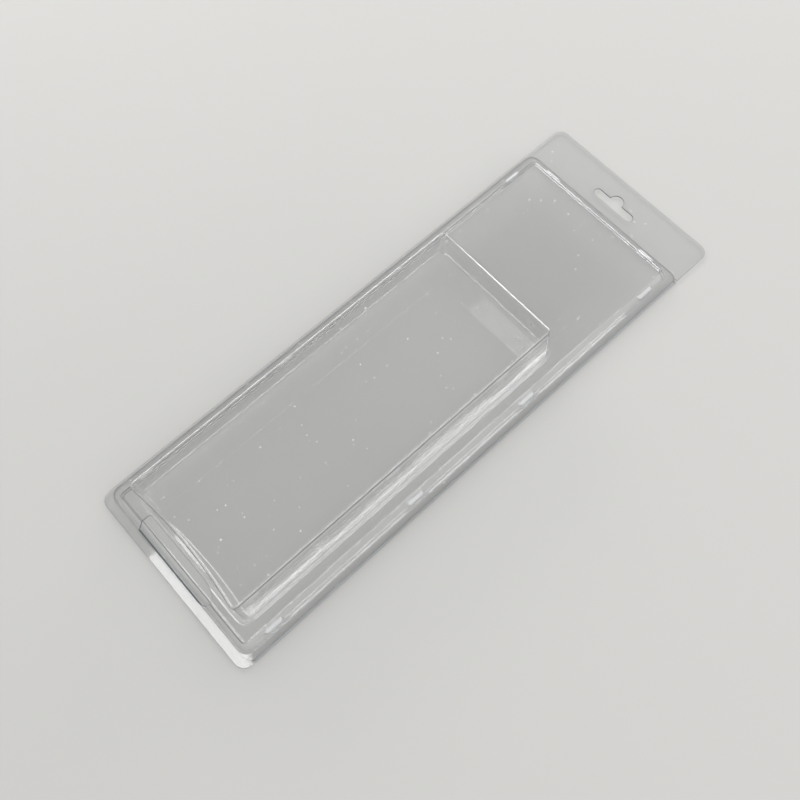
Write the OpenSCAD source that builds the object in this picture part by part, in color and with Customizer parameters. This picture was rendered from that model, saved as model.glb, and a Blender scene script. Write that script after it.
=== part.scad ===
// Clear card protector case: a vacuum formed front shell with a card recess and a deep bubble,
// hinged along one long side to a shallow tray that plugs into the recess from behind.
// The case lies on its tray, +Y runs towards the header and +Z towards the front.

/* [Sheet] */
// Thickness of the clear sheet
sheet_t = 0.5; // [0.4:0.05:0.8]
// Width across the two flanges
case_w = 127; // [122:1:150]
// Length of the front shell, header and lower tab included
case_l = 371; // [300:1:420]
// Length of the header, from its far edge to the foot of the recess wall
header_l = 31.2; // [29:0.2:45]
// Radius of the corners of the outline
corner_r = 6.5; // [4:0.5:9]

/* [Card recess] */
// Width of the flat top of the recess
recess_w = 108.6; // [100:0.2:112]
// Height of the recess above the front flange
recess_h = 7.6; // [6:0.1:10]
// How far the sloping wall runs out from its top to its foot
recess_run = 4.4; // [2:0.1:6]
// Distance from the lower edge to the foot of the recess wall
recess_y = 5.6; // [5:0.1:9]
// Corner radius of the flat top of the recess
recess_r = 2.2; // [1.6:0.1:5]
// Radius along the top edge of the recess
recess_edge_r = 1.2; // [0.6:0.1:1.6]
// Radius along the foot of the recess wall
recess_foot_r = 0.6; // [0.3:0.1:0.8]

/* [Bubble] */
// Width of the flat top of the bubble
bubble_w = 87.4; // [70:0.2:92]
// Length of the flat top of the bubble
bubble_l = 223.4; // [180:0.2:260]
// Height of the bubble above the recess
bubble_h = 30.5; // [20:0.5:45]
// How far the bubble wall runs out from its top to its foot
bubble_run = 2.8; // [1.5:0.1:4]
// Distance from the recess edge to the bubble edge at the lower end
bubble_y = 9.9; // [8.6:0.1:14]
// Corner radius of the flat top of the bubble
bubble_r = 2.6; // [2:0.1:6]
// Radius along the top edge of the bubble
bubble_edge_r = 1.5; // [0.8:0.1:1.8]
// Radius along the foot of the bubble wall
bubble_foot_r = 2.3; // [1:0.1:2.8]

/* [Snap dimples] */
// Length of one dimple
dimple_l = 14; // [8:0.5:20]
// Outer radius of a dimple
dimple_r = 1.6; // [1.3:0.1:2]
// How far the axis of a dimple lies inside the face of the wall
dimple_in = 0.4; // [0:0.1:0.8]
// Distance from the top of the recess down to the dimples
dimple_drop = 3.4; // [3:0.1:4.4]
// Distance from each end of the recess to its outer side dimples
dimple_far = 17.7; // [12:0.1:40]
// Distance from the middle of the recess to the inner side dimples
dimple_near = 43.5; // [20:0.5:80]
// Distance from the centre line to the dimples of the far end
dimple_end = 39.4; // [20:0.2:44]
// How far the tray's snap ribs stand out of its wall
rib_out = 0.25; // [0.1:0.05:0.3]

/* [Finger notch] */
// Distance from the centre line to the straight end of the notch
notch_left = 34.3; // [20:0.1:42]
// Distance from the centre line to the round end of the notch
notch_right = 25.4; // [18:0.1:42]
// Length of the round end
notch_round = 13; // [5:0.5:17]
// Distance from the foot of the recess wall to the inner edge of the notch
notch_depth = 10.2; // [6:0.1:10.6]
// Radius of the corner at the straight end
notch_r = 1.6; // [0.6:0.1:3]

/* [Hang slot] */
// Length of the slot
slot_l = 31.4; // [24:0.2:40]
// Width of the straight part
slot_w = 5.5; // [4.5:0.1:7]
// Radius of the round bump in the middle
slot_bump_r = 4.7; // [3.5:0.1:6]
// How far the centre of the bump lies from the centre of the straight part
slot_bump_y = 2.95; // [1:0.05:4]
// Distance from the far edge to the centre of the straight part
slot_y = 18.3; // [14:0.1:20]

/* [Tray] */
// How far the tray's flange runs past the recess at the far end, short of the header
tray_far = 3.2; // [2:0.1:6]
// Corner radius of the tray's flange
tray_r = 6; // [4:0.5:8]
// How far the tray's free long edge stands back from the front shell's
tray_back = 1.1; // [0:0.1:2]

/* [Fit] */
// Space between the two flanges
flange_gap = 0.2; // [0.1:0.05:0.4]
// Space between the wall of the recess and the wall of the tray
wall_gap = 0.6; // [0.5:0.05:1]
// Room for the card between the recess and the tray
card_gap = 1; // [0.6:0.1:2]
// Space between the fold and the edge of the front shell
hinge_gap = 0.3; // [0.2:0.05:0.6]
// Clear length at each end of the fold
fold_relief = 1.3; // [0.8:0.1:3]

/* [Hidden] */
CORNER_STEPS = 6;
ARC_STEPS = 4;
NOTCH_STEP = 15;
BAR_SIDES = 24;
SLOT_SIDES = 48;
OVERCUT = 1;
LEAST_R = 0.1;
CLEAR = [0.86, 0.9, 0.94, 0.45];

// Heights of the stack
tray_flange_top = sheet_t;
flange_z = sheet_t + flange_gap;
flange_top = flange_z + sheet_t;
recess_top = flange_top + recess_h;
bubble_top = recess_top + bubble_h;
plug_top = recess_top - sheet_t - card_gap;

// The fold is a bead as thick as the closed stack
fold_r = flange_top / 2;
fold_x = case_w / 2 - fold_r;
fold_z = fold_r;
front_edge_x = fold_x - fold_r - hinge_gap;

// Places along the length, from the middle of the case; the recess fills what the header leaves
low_y = -case_l / 2;
high_y = case_l / 2;
foot_y = low_y + recess_y;
recess_low = foot_y + recess_run;
recess_high = high_y - header_l - recess_run;
recess_l = recess_high - recess_low;
recess_mid = (recess_low + recess_high) / 2;
bubble_low = recess_low + bubble_y;
bubble_high = bubble_low + bubble_l;
tray_low = foot_y;
tray_high = recess_high + recess_run + tray_far;

// The fold runs from halfway round one corner of the tray to halfway round the other
bead_low = tray_low + tray_r / 2;
bead_high = tray_high - tray_r / 2;

// A frame is half width left and right of the centre, lower and upper edge, and corner radius
function box_frame(left, right, low, high, r) = [-left, right, low, high, r];
function grown(frame, by) = [
    frame[0] - by, frame[1] + by, frame[2] - by, frame[3] + by, max(frame[4] + by, LEAST_R)
];
function ring(frame, z) = [frame, z];

outline = box_frame(case_w / 2, case_w / 2, low_y, high_y, corner_r);
recess = box_frame(recess_w / 2, recess_w / 2, recess_low, recess_high, recess_r);
bubble = box_frame(bubble_w / 2, bubble_w / 2, bubble_low, bubble_high, bubble_r);
tray_outline = box_frame(case_w / 2 - tray_back, fold_x, tray_low, tray_high, tray_r);

// The tray's plug has the slope of the recess wall and stands inside it by the wall gap
recess_slope = recess_run / recess_h;
plug_h = plug_top - tray_flange_top;
plug_run = recess_slope * plug_h;
plug_foot_in = sheet_t + wall_gap;
plug = grown(recess, recess_run - plug_foot_in - plug_run);

// Outward offset and height along a sloping wall, from the flat at its foot to the flat at its top
function wall_path(run, z0, z1, foot_r, edge_r) =
    let (slope = atan(run / (z1 - z0)))
    let (reach = tan(45 - slope / 2))
    concat(
        [for (i = [0:ARC_STEPS])
            let (a = 90 - i * (90 - slope) / ARC_STEPS)
            [run + foot_r * (reach - cos(a)), z0 + foot_r * (1 - sin(a))]],
        [for (i = [0:ARC_STEPS])
            let (a = slope + i * (90 - slope) / ARC_STEPS)
            [edge_r * (cos(a) - reach), z1 - edge_r * (1 - sin(a))]]
    );

function wall_rings(frame, path, inset, drop) = [
    for (p = path) ring(grown(frame, p[0] - inset), p[1] - drop)
];

recess_path = wall_path(recess_run, flange_top, recess_top, recess_foot_r, recess_edge_r);
bubble_path = wall_path(bubble_run, recess_top, bubble_top, bubble_foot_r, bubble_edge_r);
plug_path = wall_path(plug_run, tray_flange_top, plug_top, recess_foot_r, recess_edge_r);

function corner_points(x, y, r, from) = [
    for (k = [0:CORNER_STEPS])
        let (a = from + 90 * k / CORNER_STEPS)
        [x + r * cos(a), y + r * sin(a)]
];

function frame_points(f) = concat(
    corner_points(f[1] - f[4], f[3] - f[4], f[4], 0),
    corner_points(f[0] + f[4], f[3] - f[4], f[4], 90),
    corner_points(f[0] + f[4], f[2] + f[4], f[4], 180),
    corner_points(f[1] - f[4], f[2] + f[4], f[4], 270)
);

// A solid whose skin passes through each ring in turn
module loft(rings) {
    count = 4 * (CORNER_STEPS + 1);
    last = len(rings) - 1;
    points = [for (r = rings, p = frame_points(r[0])) [p[0], p[1], r[1]]];
    sides = [
        for (i = [0:last - 1], j = [0:count - 1])
            let (a = i * count + j)
            let (b = i * count + (j + 1) % count)
            each [[a, a + count, b + count], [a, b + count, b]]
    ];
    foot = [[for (j = [0:count - 1]) j]];
    cap = [[for (j = [count - 1:-1:0]) last * count + j]];
    polyhedron(points, concat(foot, sides, cap));
}

// A rounded bar of the given length along Y
module bar(r, length) {
    rotate([90, 0, 0])
        cylinder(h = length - 2 * r, r = r, center = true, $fn = BAR_SIDES);
    for (end = [-1, 1])
        translate([0, end * (length / 2 - r), 0])
            sphere(r = r, $fn = BAR_SIDES);
}

// A dimple is hollow, and the rib that snaps into it is half as thick and a sheet shorter at each end
groove_r = dimple_r - sheet_t;
groove_l = dimple_l - 2 * sheet_t;
rib_r = groove_r / 2;
rib_l = groove_l - 2 * sheet_t;

// Outward offset of a dimple's axis from the top of the recess, and of a rib's from that of the plug
dimple_z = recess_top - dimple_drop;
dimple_at = recess_slope * dimple_drop - dimple_in;
rib_at = recess_slope * (plug_top - dimple_z) + rib_out - rib_r;

// The children, set at each dimple's place on a wall of the given frame
module at_dimples(frame, offset) {
    far = recess_l / 2 - dimple_far;
    for (side = [-1, 1], y = [-far, -dimple_near, dimple_near, far])
        translate([side * (frame[1] + offset), recess_mid + y, dimple_z])
            children();
    for (side = [-1, 1])
        translate([side * dimple_end, frame[3] + offset, dimple_z])
            rotate([0, 0, 90])
                children();
}

module finger_notch() {
    low = foot_y - OVERCUT;
    high = foot_y + notch_depth;
    mid = (low + high) / 2;
    half = (high - low) / 2;
    round_end = [
        for (a = [-90:NOTCH_STEP:90])
            [notch_right - notch_round + notch_round * cos(a), mid + half * sin(a)]
    ];
    straight_end = concat(
        [for (a = [90:NOTCH_STEP:180])
            [-notch_left + notch_r + notch_r * cos(a), high - notch_r + notch_r * sin(a)]],
        [[-notch_left, low]]
    );
    translate([0, 0, flange_top])
        linear_extrude(height = recess_h + bubble_foot_r)
            polygon(concat(round_end, straight_end));
}

module hang_slot() {
    end_x = slot_l / 2 - slot_w / 2;
    translate([0, high_y - slot_y, flange_z - OVERCUT])
        linear_extrude(height = sheet_t + 2 * OVERCUT) {
            square([2 * end_x, slot_w], center = true);
            for (side = [-1, 1])
                translate([side * end_x, 0])
                    circle(d = slot_w, $fn = SLOT_SIDES);
            translate([0, slot_bump_y])
                circle(r = slot_bump_r, $fn = SLOT_SIDES);
        }
}

module fold_clearance() {
    low = bead_low - fold_relief;
    high = bead_high + fold_relief;
    translate([front_edge_x, low, flange_z - OVERCUT])
        cube([case_w, high - low, sheet_t + 2 * OVERCUT]);
}

module front_shell() {
    color(CLEAR)
        difference() {
            union() {
                loft(concat(
                    [ring(outline, flange_z), ring(outline, flange_top)],
                    wall_rings(recess, recess_path, 0, 0),
                    wall_rings(bubble, bubble_path, 0, 0)
                ));
                at_dimples(recess, dimple_at)
                    bar(dimple_r, dimple_l);
            }
            loft(concat(
                [ring(grown(recess, recess_path[0][0] - sheet_t), flange_z - OVERCUT)],
                wall_rings(recess, recess_path, sheet_t, sheet_t),
                wall_rings(bubble, bubble_path, sheet_t, sheet_t)
            ));
            at_dimples(recess, dimple_at)
                bar(groove_r, groove_l);
            finger_notch();
            hang_slot();
            fold_clearance();
        }
}

module fold_bead() {
    translate([fold_x, bead_low, fold_z])
        rotate([-90, 0, 0])
            cylinder(h = bead_high - bead_low, r = fold_r, $fn = BAR_SIDES);
}

module tray() {
    color(CLEAR)
        difference() {
            union() {
                loft(concat(
                    [ring(tray_outline, 0), ring(tray_outline, tray_flange_top)],
                    wall_rings(plug, plug_path, 0, 0)
                ));
                at_dimples(plug, rib_at)
                    bar(rib_r, rib_l);
                fold_bead();
            }
            loft(concat(
                [ring(grown(plug, plug_path[0][0] - sheet_t), -OVERCUT)],
                wall_rings(plug, plug_path, sheet_t, sheet_t)
            ));
        }
}

tray();
front_shell();
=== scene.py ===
# %% [markdown]
# # A clear folding card protector case
# The real object is one sheet of clear PET, vacuum formed and then folded along a long side. The
# front half has a shallow recess for a card and a deep bubble. The back half is a tray that plugs
# into the recess from behind. The case lies on its tray on a pale studio floor.
#
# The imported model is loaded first, as a fixed frame. Its solids say where everything is, and the
# pieces modelled here stand in the same places with softer shapes.

import math

import bmesh
import bpy
from mathutils import Matrix, Vector


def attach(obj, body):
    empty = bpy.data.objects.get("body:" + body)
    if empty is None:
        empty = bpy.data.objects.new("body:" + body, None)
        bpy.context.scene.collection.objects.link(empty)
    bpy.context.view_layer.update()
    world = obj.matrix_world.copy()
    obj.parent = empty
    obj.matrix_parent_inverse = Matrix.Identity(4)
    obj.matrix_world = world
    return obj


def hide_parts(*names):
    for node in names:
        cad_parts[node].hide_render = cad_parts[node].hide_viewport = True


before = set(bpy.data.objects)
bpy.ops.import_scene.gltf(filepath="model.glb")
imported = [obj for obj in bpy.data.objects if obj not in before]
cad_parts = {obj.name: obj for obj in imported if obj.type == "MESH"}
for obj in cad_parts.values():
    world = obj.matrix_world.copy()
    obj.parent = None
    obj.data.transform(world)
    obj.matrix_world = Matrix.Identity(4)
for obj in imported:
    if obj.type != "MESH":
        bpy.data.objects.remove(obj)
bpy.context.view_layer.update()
MM = 0.001

# %% [markdown]
# ## Camera
# The photograph looks down at the case from beyond its folded side. The camera's place and lens
# were fitted to the corners of the flange, the recess and the bubble, so it is set from those
# numbers and not turned by hand. It has to match the photograph before any shape can be judged.

# %% Set up the camera
CAMERA_PLACE = Vector((143.81, -144.49, 478.49)) * MM
CAMERA_RIGHT = Vector((0.67511, 0.73769, -0.00545))
CAMERA_UP = Vector((-0.68699, 0.63137, 0.35974))
CAMERA_LENS = 39.57
camera_data = bpy.data.cameras.new("photo_camera")
camera_data.lens = CAMERA_LENS
camera_data.sensor_width = 36
camera_data.clip_start = 0.01
camera = bpy.data.objects.new("photo_camera", camera_data)
bpy.context.scene.collection.objects.link(camera)
camera_back = CAMERA_RIGHT.cross(CAMERA_UP)
turn = Matrix((CAMERA_RIGHT, CAMERA_UP, camera_back)).transposed()
camera.matrix_world = Matrix.Translation(CAMERA_PLACE) @ turn.to_4x4()
bpy.context.scene.camera = camera
bpy.context.scene.view_settings.view_transform = "Standard"
print("camera at", tuple(round(x, 3) for x in camera.location))

# %% [markdown]
# ## Sizes
# These are the case's own sizes in metres, the same as in the solids. An outline is seen from
# above: its left, right, lower and upper edge and the radius of its corners. Each wall starts at a
# foot outline, runs inwards and rises. The rings are narrow flats beside a wall's foot and its top,
# which leave room for the rims to be rounded.

# %% Name the sizes
SHEET = 0.5 * MM
OUTLINE = [-63.5 * MM, 63.5 * MM, -185.5 * MM, 185.5 * MM, 6.5 * MM]
RECESS_FOOT = [-58.7 * MM, 58.7 * MM, -179.9 * MM, 154.3 * MM, 6.6 * MM]
BUBBLE_FOOT = [-46.5 * MM, 46.5 * MM, -168.4 * MM, 60.6 * MM, 5.4 * MM]
TRAY_OUTLINE = [-62.4 * MM, 62.9 * MM, -179.9 * MM, 157.5 * MM, 6.0 * MM]
PLUG_FOOT = [-57.6 * MM, 57.6 * MM, -178.8 * MM, 153.2 * MM, 5.5 * MM]
FLANGE_Z = 1.2 * MM
RECESS_Z = 8.8 * MM
BUBBLE_Z = 39.3 * MM
TRAY_Z = 0.5 * MM
PLUG_Z = 7.3 * MM
RECESS_RUN = 4.4 * MM
BUBBLE_RUN = 2.8 * MM
PLUG_RUN = 3.937 * MM
DIMPLE_Z = 5.4 * MM
SIDE_DIMPLES = [-157.8 * MM, -56.3 * MM, 30.7 * MM, 132.2 * MM]
END_DIMPLES = [-39.4 * MM, 39.4 * MM]
CORNER_CUTS = 8
RIM_CUTS = 6
RECESS_RINGS = (0.95 * MM, 0.95 * MM)
BUBBLE_RINGS = (2.6 * MM, 1.6 * MM)
PLUG_RINGS = (0.6 * MM, 0.9 * MM)

# Radii of the rounded rims
FOOT_ROUND, RIM_ROUND = 0.6 * MM, 1.2 * MM
BUBBLE_FOOT_ROUND, BUBBLE_RIM_ROUND = 2.3 * MM, 1.5 * MM

# A ridge's length, how far it stands out, and how far its bulge spreads over the wall
DIMPLE = (14 * MM, 1.2 * MM, 2 * MM)
RIB = (12 * MM, 0.25 * MM, 1.2 * MM)

# Places this near count as one: SAME where they were made level, CLOSE on arcs and cuts
SAME, CLOSE = 0.01 * MM, 0.05 * MM
width, length = OUTLINE[1] - OUTLINE[0], OUTLINE[3] - OUTLINE[2]
print("case", round(width / MM, 1), "by", round(length / MM, 1), "by", BUBBLE_Z / MM, "mm")

# %% [markdown]
# ## Working by hand, in code
# Every step below is one that a modeller would do with the mouse: pick some faces or edges, then
# run one tool on them. A few helpers do the picking. They choose by place, because a script can't
# click.

# %% Helpers for picking


def start_editing(piece):
    """Makes the piece the only one selected, and goes into edit mode."""
    if bpy.context.object and bpy.context.object.mode != "OBJECT":
        bpy.ops.object.mode_set(mode="OBJECT")
    bpy.ops.object.select_all(action="DESELECT")
    piece.select_set(True)
    bpy.context.view_layer.objects.active = piece
    bpy.ops.object.mode_set(mode="EDIT")


def pick(piece, kind, test):
    """Selects the vertices, edges or faces that pass the test, and returns how many did."""
    bpy.ops.mesh.select_mode(type=kind)
    bpy.ops.mesh.select_all(action="DESELECT")
    shape = bmesh.from_edit_mesh(piece.data)
    shape.normal_update()
    parts = {"VERT": shape.verts, "EDGE": shape.edges, "FACE": shape.faces}[kind]
    found = [part for part in parts if test(part)]
    for part in found:
        part.select_set(True)
    bmesh.update_edit_mesh(piece.data)
    return len(found)


def at_height(edge, z):
    return all(abs(v.co.z - z) < SAME for v in edge.verts)


def inside(point, outline, margin):
    left, right, low, high, _ = outline
    return (
        left - margin < point.x < right + margin
        and low - margin < point.y < high + margin
    )


def cut_wall(piece, wall, origin, direction):
    """Bisects the faces of one wall with a plane."""
    pick(piece, "FACE", wall)
    bpy.ops.mesh.bisect(plane_co=origin, plane_no=direction)


def add_modifier(piece, kind, **settings):
    """Adds a modifier, sets it and applies it, as the Apply button does."""
    bpy.ops.object.select_all(action="DESELECT")
    piece.select_set(True)
    bpy.context.view_layer.objects.active = piece
    modifier = piece.modifiers.new(kind.lower(), kind)
    for name, value in settings.items():
        setattr(modifier, name, value)
    bpy.ops.object.modifier_apply(modifier=modifier.name)


# %% [markdown]
# ## Clear PET
# PET sheet is water clear, with an index of about 1.57, so each face throws back a twentieth of the
# light and the rims more. Vacuum forming leaves it slightly wavy. Handling leaves a faint haze,
# hairline scuffs and dust. All of that comes from noise, at scales given in millimetres.

# %% Colours and nodes


def linear(hex_colour):
    """Turns an sRGB hex colour into the linear one that shaders use."""
    channels = [int(hex_colour[i : i + 2], 16) / 255 for i in (1, 3, 5)]
    return (*[c / 12.92 if c <= 0.04045 else ((c + 0.055) / 1.055) ** 2.4 for c in channels], 1)


def add_node(tree, kind, settings=None, inputs=None):
    """Adds a node. settings are its own choices. inputs are values or links for its sockets."""
    made = tree.nodes.new(kind)
    for name, value in (settings or {}).items():
        setattr(made, name, value)
    for name, value in (inputs or {}).items():
        if isinstance(value, bpy.types.NodeSocket):
            tree.links.new(value, made.inputs[name])
        else:
            made.inputs[name].default_value = value
    return made


def lamps_pass(tree, shader, flat_colour, steep_colour):
    """Lets lamps shine through, which a steep wall or an edge holds back more than a flat does.

    Rays that the floor scatters pass in the same way, or else the lamps would count twice there.
    """
    facing = add_node(tree, "ShaderNodeLayerWeight", {}, {"Blend": 0.2}).outputs["Facing"]
    shade = add_node(
        tree,
        "ShaderNodeMix",
        {"data_type": "RGBA"},
        {"Factor": facing, 6: linear(flat_colour), 7: linear(steep_colour)},
    )
    through = add_node(tree, "ShaderNodeBsdfTransparent", {}, {"Color": shade.outputs[2]})
    passing = through.outputs[0]
    ray = add_node(tree, "ShaderNodeLightPath").outputs
    seen = shader.outputs[0]
    for kind in ("Is Shadow Ray", "Is Diffuse Ray"):
        mixed = add_node(tree, "ShaderNodeMixShader", {}, {0: ray[kind], 1: seen, 2: passing})
        seen = mixed.outputs[0]
    add_node(tree, "ShaderNodeOutputMaterial", {}, {"Surface": seen})


# %% Start the clear sheet with waves and haze
PER_METRE = 1000
PET_IOR = 1.57
pet = bpy.data.materials.new("clear_PET_vacuum_formed")
pet.use_nodes = True
tree = pet.node_tree
tree.nodes.clear()
place = add_node(tree, "ShaderNodeTexCoord").outputs["Object"]

# Waves about 35 mm long, left where the sheet cooled unevenly
waves = add_node(
    tree, "ShaderNodeTexNoise", {}, {"Vector": place, "Scale": PER_METRE / 35, "Detail": 1.0}
)
ripple = add_node(
    tree,
    "ShaderNodeBump",
    {},
    {"Height": waves.outputs["Fac"], "Strength": 1.0, "Distance": 0.012 * MM},
)

# Haze in patches about 30 mm across, from handling
haze = add_node(
    tree, "ShaderNodeTexNoise", {}, {"Vector": place, "Scale": PER_METRE / 30, "Detail": 4.0}
)
haze_range = add_node(
    tree,
    "ShaderNodeMapRange",
    {},
    {
        "Value": haze.outputs["Fac"],
        "From Min": 0.45,
        "From Max": 0.75,
        "To Min": 0.01,
        "To Max": 0.07,
    },
)
print("waves and haze", len(tree.nodes), "nodes")

# %% Scuff the clear sheet
# Hairlines about 8 mm long. Only the crests of the noise are taken, so they are few
across, along = PER_METRE / 0.8, PER_METRE / 10
stretched = add_node(
    tree,
    "ShaderNodeMapping",
    {},
    {"Vector": place, "Rotation": (0, 0, 0.6), "Scale": (across, along, along)},
)
scuff_noise = add_node(
    tree,
    "ShaderNodeTexNoise",
    {},
    {"Vector": stretched.outputs["Vector"], "Scale": 1.0, "Detail": 0.0},
)
scuffed = add_node(
    tree,
    "ShaderNodeMapRange",
    {},
    {
        "Value": scuff_noise.outputs["Fac"],
        "From Min": 0.80,
        "From Max": 0.86,
        "To Min": haze_range.outputs["Result"],
        "To Max": 0.12,
    },
)
print("scuffs", len(tree.nodes), "nodes")

# %% Dust the clear sheet and finish it
# The specks are drawn up to 1.2 mm across so that they show
dust_cells = add_node(tree, "ShaderNodeTexVoronoi", {}, {"Vector": place, "Scale": PER_METRE / 6})
dust_size = add_node(tree, "ShaderNodeSeparateColor", {}, {"Color": dust_cells.outputs["Color"]})
dust_reach = add_node(
    tree, "ShaderNodeMath", {"operation": "MULTIPLY"}, {0: dust_size.outputs["Red"], 1: 0.1}
)
dust = add_node(
    tree,
    "ShaderNodeMath",
    {"operation": "LESS_THAN"},
    {0: dust_cells.outputs["Distance"], 1: dust_reach.outputs["Value"]},
)
clear = add_node(
    tree, "ShaderNodeMath", {"operation": "SUBTRACT"}, {0: 1.0, 1: dust.outputs["Value"]}
)
tint = add_node(
    tree,
    "ShaderNodeMix",
    {"data_type": "RGBA"},
    {"Factor": dust.outputs["Value"], 6: linear("#FCFCFC"), 7: linear("#F4F2EE")},
)
sheet_shader = add_node(
    tree,
    "ShaderNodeBsdfPrincipled",
    {},
    {
        "Base Color": tint.outputs[2],
        "Roughness": scuffed.outputs["Result"],
        "IOR": PET_IOR,
        "Transmission Weight": clear.outputs["Value"],
        "Normal": ripple.outputs["Normal"],
    },
)
lamps_pass(tree, sheet_shader, "#FCFCFC", "#D7DADB")
print(pet.name, len(tree.nodes), "nodes")

# %% [markdown]
# ## Cut edges, the crease and the snap ridges
# The die that cuts the sheet leaves its edges finely torn, so they are frosted. Their dark grey is
# painted shade, which draws them as thin dark lines round the outlines, the hang slot and the
# notch. PET also goes faintly white where it is folded. The snap ridges are rubbed white where they
# click, and their near white is also a painted highlight along each crest. All three are the same
# kind of surface, so one function makes the finishes.

# %% Make the frosted finishes


def frosted(name, colour, clearness, steep_colour):
    """A finely torn or stressed sheet, in the colour given. Its grain is 1.5 mm long, coarse enough
    to show. On cut edges that colour is painted shade, and on snap ridges it is partly a painted
    highlight.
    """
    made = bpy.data.materials.new(name)
    made.use_nodes = True
    tree = made.node_tree
    tree.nodes.clear()
    place = add_node(tree, "ShaderNodeTexCoord").outputs["Object"]
    tears = add_node(
        tree, "ShaderNodeTexNoise", {}, {"Vector": place, "Scale": PER_METRE / 1.5, "Detail": 2.0}
    )
    bump = add_node(
        tree,
        "ShaderNodeBump",
        {},
        {"Height": tears.outputs["Fac"], "Strength": 1.0, "Distance": 0.05 * MM},
    )
    frost = add_node(
        tree,
        "ShaderNodeMapRange",
        {},
        {
            "Value": tears.outputs["Fac"],
            "From Min": 0.3,
            "From Max": 0.7,
            "To Min": 0.3,
            "To Max": 0.55,
        },
    )
    shader = add_node(
        tree,
        "ShaderNodeBsdfPrincipled",
        {},
        {
            "Base Color": linear(colour),
            "Roughness": frost.outputs["Result"],
            "IOR": PET_IOR,
            "Transmission Weight": clearness,
            "Normal": bump.outputs["Normal"],
        },
    )
    lamps_pass(tree, shader, colour, steep_colour)
    return made


# The cut edges' dark grey is painted shade: it draws the dark lines of the cuts on top of their
# frosting
cut_edge_frost_and_painted_shade = frosted("frosted_cut_edge_PET_painted_shade", "#686D72", 0.1, "#50555A")
crease = frosted("stress_whitened_crease_PET", "#C8CACC", 0.6, "#A6ABAD")
# The ridges' near white is partly rubbing and partly a painted highlight on their crests and upper
# sides
rubbed_ridge_and_painted_highlight = frosted("rubbed_white_snap_ridge_PET_painted_highlight", "#EDEEEF", 0.3, "#C4C8CA")
print("finishes", [finish.name for finish in (pet, cut_edge_frost_and_painted_shade, crease, rubbed_ridge_and_painted_highlight)])

# %% [markdown]
# ## From outlines to a formed surface
# Vacuum forming pulls a flat sheet over a mould. The model copies that: a rounded outline for the
# flange, a second one where the wall starts, a ring of faces bridged between them, and then an
# inset with depth, which makes the sloping wall and the flat top in one step. Both outlines get the
# same number of points round each corner, so that the bridge is a clean ring.

# %% Helpers for forming
BENT = 0.3  # the least angle between two faces at a rim, in radians


def add_outline(outline, z):
    """In edit mode, adds a plane, stretches it, rounds its corners and keeps only its edge."""
    left, right, low, high, radius = outline
    centre = ((left + right) / 2, (low + high) / 2, z)
    bpy.ops.mesh.select_all(action="DESELECT")
    bpy.ops.mesh.primitive_plane_add(size=1, location=centre)
    size = (right - left, high - low, 1)
    bpy.ops.transform.resize(value=size, center_override=centre)
    bpy.ops.mesh.bevel(affect="VERTICES", offset=radius, segments=CORNER_CUTS)
    bpy.ops.mesh.delete(type="ONLY_FACE")


def raise_block(piece, foot, z, run, height, rings):
    """Fills the loop round a foot and insets it upwards, which makes a wall and its flat top.

    The first and last insets are flat. They put a narrow ring outside the foot and another inside
    the top, for the rims to be rounded into.
    """
    loop = grown(foot, rings[0])
    pick(piece, "EDGE", lambda e: at_height(e, z) and all(on_loop(v.co, loop) for v in e.verts))
    bpy.ops.mesh.edge_face_add()
    shape = bmesh.from_edit_mesh(piece.data)
    shape.normal_update()
    if any(face.select and face.normal.z < 0 for face in shape.faces):
        bpy.ops.mesh.flip_normals()
    bpy.ops.mesh.inset(thickness=rings[0], depth=0, use_even_offset=True)
    bpy.ops.mesh.inset(thickness=run, depth=height, use_even_offset=True)
    bpy.ops.mesh.inset(thickness=rings[1], depth=0, use_even_offset=True)


def grown(outline, by):
    """An outline that lies further out by a distance, or further in when it is negative."""
    left, right, low, high, radius = outline
    return [left - by, right + by, low - by, high + by, radius + by]


def fill_between(piece, outer, inner, z, ring):
    """Fills the flat between two outlines, up to the ring round the inner one.

    The inner loop is bridged from a little above and then lowered. Two loops in one plane don't
    tell the bridge which way round they run.
    """
    lift = 2 * MM
    add_outline(grown(inner, ring), z + lift)
    lifted = lambda e: at_height(e, z + lift)
    around = lambda e: at_height(e, z) and all(on_loop(v.co, outer) for v in e.verts)
    pick(piece, "EDGE", lambda e: len(e.link_faces) < 2 and (lifted(e) or around(e)))
    bpy.ops.mesh.bridge_edge_loops()
    pick(piece, "VERT", lambda v: abs(v.co.z - z - lift) < SAME)
    bpy.ops.transform.translate(value=(0, 0, -lift))


def on_loop(point, outline):
    """True on an outline's own points, which reach its edges or lie on its corner arcs."""
    left, right, low, high, radius = outline
    across = max(left + radius - point.x, point.x - right + radius)
    along = max(low + radius - point.y, point.y - high + radius)
    if across > 0 and along > 0:
        return abs(math.hypot(across, along) - radius) < CLOSE
    return abs(max(across, along) - radius) < CLOSE


def round_rim(piece, z, radius, slope, test):
    """Bevels the loop at a height, where the sheet turns by slope, an angle in degrees."""
    reach = radius * math.tan(math.radians(slope) / 2)
    count = pick(
        piece,
        "EDGE",
        lambda e: at_height(e, z)
        and len(e.link_faces) == 2
        and e.calc_face_angle() > BENT
        and all(test(v.co) for v in e.verts),
    )
    bpy.ops.mesh.bevel(affect="EDGES", offset=reach, segments=RIM_CUTS, profile=0.5)
    return count


def drop_flat(piece, z):
    """Removes the large flat face at a height, but not the ring round it."""
    flat = lambda f: all(abs(v.co.z - z) < SAME for v in f.verts)
    pick(piece, "FACE", lambda f: flat(f) and len(f.verts) > 8)
    bpy.ops.mesh.delete(type="ONLY_FACE")


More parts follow.
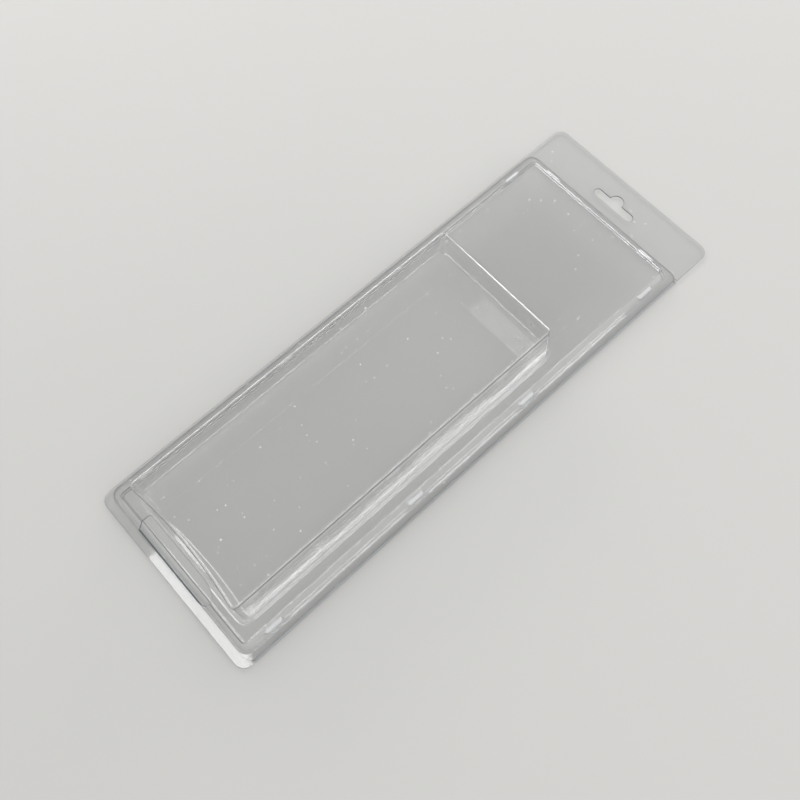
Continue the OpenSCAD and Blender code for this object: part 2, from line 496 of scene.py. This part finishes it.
# %% [markdown]
# ## The front half
# Flange, recess and bubble are one surface. The flange ring comes first, then the recess rises from
# it, and the bubble rises from the recess. The rims are rounded last, because a thermoformed sheet
# never turns sharper than about its own thickness, and the rounding follows the corners by itself.
# The bubble's lower wall isn't flat on the real case. The sheet shrinks as it cools and draws the
# wall's top edge in towards the middle. That wall is cut into columns, and each is moved a little.

# %% Form the front surface
bpy.ops.object.select_all(action="DESELECT")
bpy.ops.mesh.primitive_plane_add(size=1)
front = bpy.context.object
front.name = "front_sheet"
start_editing(front)
bpy.ops.mesh.select_all(action="SELECT")
bpy.ops.mesh.delete(type="VERT")
add_outline(OUTLINE, FLANGE_Z)
fill_between(front, OUTLINE, RECESS_FOOT, FLANGE_Z, RECESS_RINGS[0])
raise_block(front, RECESS_FOOT, FLANGE_Z, RECESS_RUN, RECESS_Z - FLANGE_Z, RECESS_RINGS)
drop_flat(front, RECESS_Z)
recess_flat = grown(RECESS_FOOT, -RECESS_RUN - RECESS_RINGS[1])
fill_between(front, recess_flat, BUBBLE_FOOT, RECESS_Z, BUBBLE_RINGS[0])
raise_block(front, BUBBLE_FOOT, RECESS_Z, BUBBLE_RUN, BUBBLE_Z - RECESS_Z, BUBBLE_RINGS)
bpy.ops.mesh.select_all(action="SELECT")
bpy.ops.mesh.normals_make_consistent(inside=False)

# %% Round the front's rims
RECESS_TURN = 90 - math.degrees(math.atan(RECESS_RUN / (RECESS_Z - FLANGE_Z)))
BUBBLE_TURN = 90 - math.degrees(math.atan(BUBBLE_RUN / (BUBBLE_Z - RECESS_Z)))
near_bubble = lambda p: inside(p, BUBBLE_FOOT, 1 * MM)
off_bubble = lambda p: not near_bubble(p)
anywhere = lambda p: True
print("recess foot", round_rim(front, FLANGE_Z, FOOT_ROUND, RECESS_TURN, anywhere))
print("recess rim", round_rim(front, RECESS_Z, RIM_ROUND, RECESS_TURN, off_bubble))
print("bubble foot", round_rim(front, RECESS_Z, BUBBLE_FOOT_ROUND, BUBBLE_TURN, near_bubble))
print("bubble rim", round_rim(front, BUBBLE_Z, BUBBLE_RIM_ROUND, BUBBLE_TURN, anywhere))

# %% Bow the bubble's lower wall
RIM_OUT, RIM_BOW = 1.7 * MM, 2.8 * MM
BOW_HALF, BOW_STEPS = 41 * MM, 8
wall_end = BUBBLE_FOOT[2] + 10 * MM
rim_start = BUBBLE_Z - 3 * MM
foot_end = RECESS_Z + 2 * MM
at_rim = lambda v: v.co.z > rim_start and v.co.y < wall_end
low_wall = lambda f: (
    f.calc_center_median().z > foot_end and all(v.co.y < wall_end for v in f.verts)
)
columns = [BOW_HALF * step / BOW_STEPS for step in range(1 - BOW_STEPS, BOW_STEPS)]
for x in columns:
    cut_wall(front, low_wall, (x, 0, 0), (1, 0, 0))
print("rim points", pick(front, "VERT", at_rim))
bpy.ops.transform.translate(value=(0, -RIM_OUT, 0))
for x in columns:
    pick(front, "VERT", lambda v: at_rim(v) and abs(v.co.x - x) < SAME)
    bpy.ops.transform.translate(value=(0, RIM_BOW * (1 - (x / BOW_HALF) ** 2), 0))
bpy.ops.object.mode_set(mode="OBJECT")
print("front surface", len(front.data.polygons), "faces")

# %% [markdown]
# ## Snap dimples
# Short ridges in the recess wall click over ribs on the tray and hold the case shut. A mould makes
# them as soft bulges, so they are pulled out of the wall with proportional editing. The wall first
# gets finer cuts where each bulge comes, and nowhere else.

# %% Helpers for the dimples
CUT_SPACING = 0.9 * MM
BESIDE_WALL = 3 * MM
RIDGE_STEPS = 10
SLOPE_SLACK, FACING = 0.03, 0.7


def bulge(piece, wall, centre, along, length, reach, size):
    """Pulls a ridge out of a wall. along is 0 for a ridge along X and 1 for one along Y."""
    start_editing(piece)
    direction = Vector((1 - along, along, 0))
    half = length / 2 + size
    steps = round(2 * half / CUT_SPACING)
    for i in range(steps + 1):
        cut_wall(piece, wall, centre + direction * (2 * half * i / steps - half), direction)
    ends = length / 2 - size
    line = lambda v: (
        abs(v.co.z - centre.z) < CLOSE
        and abs(v.co[along] - centre[along]) < ends
        and abs(v.co[1 - along] - centre[1 - along]) < BESIDE_WALL
    )
    count = pick(piece, "VERT", line)
    bpy.ops.transform.translate(
        value=reach,
        use_proportional_edit=True,
        proportional_edit_falloff="SMOOTH",
        proportional_size=size,
        use_proportional_connected=True,
    )
    bpy.ops.object.mode_set(mode="OBJECT")
    return count


def bulge_all(piece, side, far, z, ridge, turn):
    """Makes the ridges of both side walls and the far wall, which stand at side and far."""
    length, out, size = ridge
    slope = math.radians(turn)
    level = math.cos(slope)
    sloping = lambda f: abs(f.normal.z - level) < SLOPE_SLACK
    start_editing(piece)
    for i in range(RIDGE_STEPS + 1):
        height = z + size * (2 * i / RIDGE_STEPS - 1)
        cut_wall(piece, sloping, (0, 0, height), (0, 0, 1))
    bpy.ops.object.mode_set(mode="OBJECT")
    made = 0
    for sign in (-1, 1):
        wall = lambda f: sign * f.normal.x > FACING and sloping(f)
        reach = Vector((sign * math.sin(slope), 0, level)) * out
        for y in SIDE_DIMPLES:
            made += bulge(piece, wall, Vector((sign * side, y, z)), 1, length, reach, size)
    wall = lambda f: f.normal.y > FACING and sloping(f)
    reach = Vector((0, math.sin(slope), level)) * out
    for x in END_DIMPLES:
        made += bulge(piece, wall, Vector((x, far, z)), 0, length, reach, size)
    return made


# %% Pull out the front's dimples
dimple_in = RECESS_RUN * (DIMPLE_Z - FLANGE_Z) / (RECESS_Z - FLANGE_Z)
side_wall = RECESS_FOOT[1] - dimple_in
far_wall = RECESS_FOOT[3] - dimple_in
pulled = bulge_all(front, side_wall, far_wall, DIMPLE_Z, DIMPLE, RECESS_TURN)
print("dimple points", pulled)

# %% [markdown]
# ## Thickness and cut-outs
# A solidify modifier turns the surface into a sheet 0.5 mm thick. It grows inwards, so that the
# outside keeps its size. The snap ridges get their whitened finish next, which is partly a painted
# highlight, while their faces are easy to find. The real case is then punched: a hang slot in the
# header, a finger notch in the lower wall. Each punch is a solid of its own, subtracted with a
# boolean. The header is first cut across at the slot, because a face with a hole in it is filled
# wrongly.

# %% Helpers for thickness and punching
POST_SIDES = 64
UPRIGHT = 0.99


def thicken(piece):
    """Gives a surface its sheet thickness, inwards, with the cut edge's frosted finish and painted
    shade on its rim.
    """
    piece.data.materials.append(pet)
    piece.data.materials.append(cut_edge_frost_and_painted_shade)
    add_modifier(
        piece,
        "SOLIDIFY",
        thickness=SHEET,
        offset=-1,
        use_even_offset=True,
        material_offset_rim=1,
    )


def punch(piece, cutter, operation="DIFFERENCE"):
    """Subtracts, or with UNION adds, one closed solid, which is then thrown away."""
    add_modifier(
        piece,
        "BOOLEAN",
        object=cutter,
        operation=operation,
        solver="EXACT",
        material_mode="TRANSFER",
    )
    bpy.data.objects.remove(cutter)


def merge_close(piece):
    """Merges points that lie closer than a few hundredths of a millimetre."""
    start_editing(piece)
    bpy.ops.mesh.select_all(action="SELECT")
    bpy.ops.mesh.remove_doubles(threshold=0.03 * MM)
    bpy.ops.object.mode_set(mode="OBJECT")


def block(low, high):
    """A box between two corners."""
    centre = (Vector(low) + Vector(high)) / 2
    bpy.ops.object.select_all(action="DESELECT")
    bpy.ops.mesh.primitive_cube_add(size=1, location=centre)
    made = bpy.context.object
    made.data.materials.append(cut_edge_frost_and_painted_shade)
    made.scale = Vector(high) - Vector(low)
    bpy.ops.object.transform_apply(location=True, rotation=True, scale=True)
    return made


def post(x, y, low, high, radius, stretch=1):
    """An upright round post. stretch widens it along X."""
    bpy.ops.object.select_all(action="DESELECT")
    bpy.ops.mesh.primitive_cylinder_add(
        vertices=POST_SIDES, radius=radius, depth=high - low, location=(x, y, (low + high) / 2)
    )
    made = bpy.context.object
    made.data.materials.append(cut_edge_frost_and_painted_shade)
    made.scale = (stretch, 1, 1)
    bpy.ops.object.transform_apply(location=True, rotation=True, scale=True)
    return made


def round_posts(piece, test, radius, cuts):
    """Bevels the upright edges that pass the test."""
    start_editing(piece)
    upright = lambda e: abs((e.verts[0].co - e.verts[1].co).normalized().z) > UPRIGHT
    count = pick(piece, "EDGE", lambda e: upright(e) and test(e.verts[0].co))
    bpy.ops.mesh.bevel(affect="EDGES", offset=radius, segments=cuts)
    bpy.ops.object.mode_set(mode="OBJECT")
    return count


# %% Give the front its thickness and whiten its snap ridges, with a painted highlight
thicken(front)
front.data.materials.append(rubbed_ridge_and_painted_highlight)
CREST_OUT, SHOULDER_OUT = 0.72 * MM, 0.3 * MM
RIDGE_HALF = 7.5 * MM
RIDGE_BAND, UPPER_SIDE = 2.5 * MM, 0.6 * MM


def on_ridge(face):
    """True on a dimple's crest and on its upper side, outside, where the tray's rib rubs and where
    the painted highlight lies.
    """
    middle = face.calc_center_median()
    slope = math.radians(RECESS_TURN)
    rise = (middle.z - DIMPLE_Z) * math.cos(slope)
    beyond_side = (abs(middle.x) - side_wall) * math.sin(slope) + rise
    beyond_end = (middle.y - far_wall) * math.sin(slope) + rise
    by_side = any(abs(middle.y - y) < RIDGE_HALF for y in SIDE_DIMPLES)
    by_end = any(abs(middle.x - x) < RIDGE_HALF for x in END_DIMPLES)
    outside = face.normal.x * middle.x > 0 if by_side else face.normal.y > 0
    limit = SHOULDER_OUT if middle.z > DIMPLE_Z + UPPER_SIDE else CREST_OUT
    return (
        abs(middle.z - DIMPLE_Z) < RIDGE_BAND
        and outside
        and ((by_side and beyond_side > limit) or (by_end and beyond_end > limit))
    )


start_editing(front)
print("ridge faces", pick(front, "FACE", on_ridge))
front.active_material_index = list(front.data.materials).index(rubbed_ridge_and_painted_highlight)
bpy.ops.object.material_slot_assign()
bpy.ops.object.mode_set(mode="OBJECT")

# %% Punch the hang slot
PUNCH_LOW, PUNCH_HIGH = -1 * MM, 3 * MM
SLOT_Y = 167.2 * MM
SLOT_HALF, SLOT_RADIUS = 12.95 * MM, 2.75 * MM
BUMP_RADIUS, BUMP_STRETCH = 4.9 * MM, 4.7 / 4.9
SHOULDER_ROUND, SHOULDER_CUTS = 0.4 * MM, 3
slot_top = SLOT_Y + SLOT_RADIUS
slot = block((-SLOT_HALF, SLOT_Y - SLOT_RADIUS, PUNCH_LOW), (SLOT_HALF, slot_top, PUNCH_HIGH))
for side in (-1, 1):
    punch(slot, post(side * SLOT_HALF, SLOT_Y, PUNCH_LOW, PUNCH_HIGH, SLOT_RADIUS), "UNION")
punch(slot, post(0, slot_top, PUNCH_LOW, PUNCH_HIGH, BUMP_RADIUS, BUMP_STRETCH), "UNION")
merge_close(slot)
shoulder = lambda p: 3 * MM < abs(p.x) < 6 * MM and abs(p.y - slot_top) < CLOSE
print("slot shoulders", round_posts(slot, shoulder, SHOULDER_ROUND, SHOULDER_CUTS))

# The cut across the header passes beside the slot's middle, where the round ends have no point
BESIDE_MIDDLE = 0.13 * MM
start_editing(front)
header = lambda f: min(v.co.y for v in f.verts) > RECESS_FOOT[3]
cut_wall(front, header, (0, SLOT_Y + BESIDE_MIDDLE, 0), (0, 1, 0))
bpy.ops.object.mode_set(mode="OBJECT")
punch(front, slot)

# %% Punch the finger notch
NOTCH_LEFT, NOTCH_RIGHT = -34.3 * MM, 12.4 * MM
NOTCH_LOW, NOTCH_HIGH = -180.9 * MM, -169.7 * MM
NOTCH_TOP = 11.1 * MM
NOTCH_CORNER, NOTCH_END = 1.6 * MM, 13 * MM
notch = block((NOTCH_LEFT, NOTCH_LOW, FLANGE_Z), (NOTCH_RIGHT, NOTCH_HIGH, NOTCH_TOP))
inner_corner = lambda p: p.x < NOTCH_LEFT + CLOSE and p.y > NOTCH_HIGH - CLOSE
print("notch corners", round_posts(notch, inner_corner, NOTCH_CORNER, CORNER_CUTS))
notch_half = (NOTCH_HIGH - NOTCH_LOW) / 2
middle = (NOTCH_HIGH + NOTCH_LOW) / 2
round_end = post(NOTCH_RIGHT, middle, FLANGE_Z, NOTCH_TOP, notch_half, NOTCH_END / notch_half)
punch(notch, round_end, "UNION")
punch(front, notch)
print("punched front", len(front.data.polygons), "faces")

# %% [markdown]
# ## The torn lip
# A die presses the sheet before it cuts, so the upper lip of every cut is slightly rounded over. It
# is frosted too, and it is painted the same dark grey as painted shade, which gives the clear case
# an outline when it is seen from above. The edge along the fold isn't a cut one. It is stepped back
# afterwards, to make room for the fold's bead.

# %% Round the lips of the cuts
LIP = 0.18 * MM
SHARP = 0.5  # the least angle between two faces at a lip, in radians
UPWARD = 0.05


def round_lip(piece):
    """Bevels the upper lip of every cut, with the cut edge's frosted finish and painted shade."""
    start_editing(piece)
    cut = list(piece.data.materials).index(cut_edge_frost_and_painted_shade)
    is_cut = lambda face: face.material_index == cut
    upper = lambda face: not is_cut(face) and face.normal.z > UPWARD
    lip = lambda e: (
        any(map(is_cut, e.link_faces))
        and any(map(upper, e.link_faces))
        and e.calc_face_angle() > SHARP
    )
    count = pick(piece, "EDGE", lip)
    bpy.ops.mesh.bevel(affect="EDGES", offset=LIP, segments=2, material=cut)
    bpy.ops.object.mode_set(mode="OBJECT")
    return count


merge_close(front)
print("front lip", round_lip(front), "edges")

# %% Step the front's edge back along the fold
FOLD_X, FOLD_R = 62.9 * MM, 0.6 * MM
FOLD_LOW, FOLD_HIGH = -176.9 * MM, 154.5 * MM
FOLD_RELIEF = 1.3 * MM
STEPPED_EDGE, PAST_EDGE = 62.0 * MM, 70 * MM
fold_cut = block(
    (STEPPED_EDGE, FOLD_LOW - FOLD_RELIEF, PUNCH_LOW),
    (PAST_EDGE, FOLD_HIGH + FOLD_RELIEF, PUNCH_HIGH),
)
punch(front, fold_cut)
print("front sheet", len(front.data.polygons), "faces")

# %% [markdown]
# ## The tray
# The back half is made in the same way, with a lower block. Its ribs are the same bulges, only much
# flatter. The fold itself is a round bead along the tray's edge, as thick as the closed case.

# %% Form the tray
bpy.ops.object.select_all(action="DESELECT")
bpy.ops.mesh.primitive_plane_add(size=1)
tray = bpy.context.object
tray.name = "tray_sheet"
start_editing(tray)
bpy.ops.mesh.select_all(action="SELECT")
bpy.ops.mesh.delete(type="VERT")
add_outline(TRAY_OUTLINE, TRAY_Z)
fill_between(tray, TRAY_OUTLINE, PLUG_FOOT, TRAY_Z, PLUG_RINGS[0])
raise_block(tray, PLUG_FOOT, TRAY_Z, PLUG_RUN, PLUG_Z - TRAY_Z, PLUG_RINGS)
bpy.ops.mesh.select_all(action="SELECT")
bpy.ops.mesh.normals_make_consistent(inside=False)
print("plug foot", round_rim(tray, TRAY_Z, FOOT_ROUND, RECESS_TURN, anywhere))
print("plug rim", round_rim(tray, PLUG_Z, RIM_ROUND, RECESS_TURN, anywhere))
bpy.ops.object.mode_set(mode="OBJECT")

# %% Raise the ribs, thicken the tray and add the fold
rib_in = PLUG_RUN * (DIMPLE_Z - TRAY_Z) / (PLUG_Z - TRAY_Z)
rib_side = PLUG_FOOT[1] - rib_in
rib_far = PLUG_FOOT[3] - rib_in
BEAD_SIDES = 32
pulled = bulge_all(tray, rib_side, rib_far, DIMPLE_Z, RIB, RECESS_TURN)
print("rib points", pulled)
thicken(tray)
bpy.ops.object.select_all(action="DESELECT")
bpy.ops.mesh.primitive_cylinder_add(
    vertices=BEAD_SIDES,
    radius=FOLD_R,
    depth=FOLD_HIGH - FOLD_LOW,
    location=(FOLD_X, (FOLD_LOW + FOLD_HIGH) / 2, FOLD_R),
    rotation=(math.pi / 2, 0, 0),
)
bead = bpy.context.object
bead.data.materials.append(crease)
bpy.ops.object.transform_apply(location=True, rotation=True, scale=True)
punch(tray, bead, "UNION")
print("tray lip", round_lip(tray), "edges")
print("tray sheet", len(tray.data.polygons), "faces")

# %% [markdown]
# ## Smooth shading
# Reflections show every facet, so both sheets are shaded smooth, apart from the punched edges. The
# flats are large and the roundings small, and plain smoothing would bend what the flats reflect.
# The weighted normal modifier lets the large faces keep their own direction.

# %% Shade both sheets
SMOOTH_BELOW = math.radians(32)
for sheet in (front, tray):
    bpy.ops.object.select_all(action="DESELECT")
    sheet.select_set(True)
    bpy.context.view_layer.objects.active = sheet
    bpy.ops.object.shade_smooth_by_angle(angle=SMOOTH_BELOW)
    add_modifier(sheet, "WEIGHTED_NORMAL", keep_sharp=True, weight=100)
    low = [min(v.co[i] for v in sheet.data.vertices) / MM for i in range(3)]
    high = [max(v.co[i] for v in sheet.data.vertices) / MM for i in range(3)]
    print(sheet.name, [round(x, 2) for x in low], [round(x, 2) for x in high])

# %% [markdown]
# ## Joining the pieces to the frame
# Each sheet stands for the solid of its half and rides on that half's body, so the front opens with
# the fold.

# %% Ride and replace
for sheet, body, node_name in ((front, "front", "front_shell"), (tray, "back", "tray")):
    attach(sheet, body)
    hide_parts(node_name)
    print(sheet.name, "rides on", body)

# %% [markdown]
# ## Studio
# A clear object shows by what it reflects, and on a pale floor by what its edges hide. The floor is
# plain and pale. Far from the case it turns into an even backdrop of its own colour, so that low
# views show no horizon. Two long soft boxes on the folded side draw the bright lines along its
# walls, one high and one low. One on the left and one beyond the header light the rims and dimples
# there. The one over the lower end stops just where it would show in the bubble's top, so that it
# whitens only the lower flange. The world is a soft glow, bright at the horizon and dimmer
# overhead, so that the flats mirror something darker than the floor and can be seen.

# %% Lay the floor
FLOOR_SIZE, FLOOR_COLOUR = 12, "#D6D5D2"
BACKDROP_FROM, BACKDROP_FULL = 0.5, 1.5
bpy.ops.object.select_all(action="DESELECT")
bpy.ops.mesh.primitive_plane_add(size=FLOOR_SIZE, location=(0, 0, 0))
floor = bpy.context.object
floor.name = "floor"
floor_paint = bpy.data.materials.new("matt_pale_floor")
floor_paint.use_nodes = True
tree = floor_paint.node_tree
tree.nodes.clear()
paint = linear(FLOOR_COLOUR)
matt = add_node(tree, "ShaderNodeBsdfPrincipled", {}, {"Base Color": paint, "Roughness": 0.9})

# Far from the case, where the lamps don't reach, the floor keeps the same tone in every view
backdrop = add_node(tree, "ShaderNodeEmission", {}, {"Color": paint, "Strength": 1.0})
place = add_node(tree, "ShaderNodeTexCoord").outputs["Object"]
away = add_node(tree, "ShaderNodeVectorMath", {"operation": "LENGTH"}, {0: place})
far = add_node(
    tree,
    "ShaderNodeMapRange",
    {"interpolation_type": "SMOOTHSTEP"},
    {
        "Value": away.outputs["Value"],
        "From Min": BACKDROP_FROM,
        "From Max": BACKDROP_FULL,
        "To Min": 0.0,
        "To Max": 1.0,
    },
).outputs["Result"]
ray = add_node(tree, "ShaderNodeLightPath").outputs
seen = ray["Is Camera Ray"]
for kind in ("Is Glossy Ray", "Is Transmission Ray"):
    either = add_node(tree, "ShaderNodeMath", {"operation": "MAXIMUM"}, {0: seen, 1: ray[kind]})
    seen = either.outputs[0]
share = add_node(tree, "ShaderNodeMath", {"operation": "MULTIPLY"}, {0: seen, 1: far}).outputs[0]
both = add_node(
    tree, "ShaderNodeMixShader", {}, {0: share, 1: matt.outputs[0], 2: backdrop.outputs[0]}
)
add_node(tree, "ShaderNodeOutputMaterial", {}, {"Surface": both.outputs[0]})
floor.data.materials.append(floor_paint)
print("floor", FLOOR_SIZE, "m wide")

# %% Make the world's glow
world = bpy.data.worlds.new("studio")
bpy.context.scene.world = world
world.use_nodes = True
tree = world.node_tree
tree.nodes.clear()
towards = add_node(tree, "ShaderNodeTexCoord").outputs["Generated"]
level = add_node(tree, "ShaderNodeSeparateXYZ", {}, {"Vector": towards})
glow = add_node(
    tree,
    "ShaderNodeMapRange",
    {"interpolation_type": "SMOOTHSTEP"},
    {"Value": level.outputs["Z"], "From Min": 0.55, "From Max": 1.0, "To Min": 0.72, "To Max": 0.2},
)
sky = add_node(
    tree,
    "ShaderNodeBackground",
    {},
    {"Color": linear("#F5F5F6"), "Strength": glow.outputs["Result"]},
)
add_node(tree, "ShaderNodeOutputWorld", {}, {"Surface": sky.outputs[0]})
print("world", world.name, len(tree.nodes), "nodes")

# %% Hang the lamps


def soft_box(name, place, aim, along, length, width, brightness):
    """An area lamp with its long side along a direction. brightness is its radiance."""
    data = bpy.data.lights.new(name, "AREA")
    data.shape = "RECTANGLE"
    data.size, data.size_y = length, width
    data.energy = brightness * width * length * math.pi
    lamp = bpy.data.objects.new(name, data)
    bpy.context.scene.collection.objects.link(lamp)
    back = (Vector(place) - Vector(aim)).normalized()
    side = (Vector(along) - back * back.dot(Vector(along))).normalized()
    turned = Matrix((side, back.cross(side), back)).transposed()
    lamp.matrix_world = Matrix.Translation(place) @ turned.to_4x4()


# Each has its place, what it faces, its long side's direction, length, width and brightness
ALONG, ACROSS = (0, 1, 0), (1, 0, 0)
soft_box("high_side_box", (0.47, 0.2, 1.16), (0, 0.2, 0), ALONG, 0.95, 0.12, 8)
soft_box("low_side_box", (1.09, 0.2, 0.36), (0, 0.2, 0), ALONG, 1.0, 0.14, 6)
soft_box("left_box", (-1.1, 0.25, 0.5), (0, 0.25, 0), ALONG, 0.95, 0.3, 6)
soft_box("far_box", (-0.25, 1.25, 0.45), (-0.25, 0, 0), ACROSS, 0.8, 0.4, 5)
soft_box("end_box", (-0.265, -0.56, 1.18), (-0.265, -0.56, 0), ALONG, 0.6, 0.31, 4)
print("lamps", [lamp.name for lamp in bpy.data.lights])
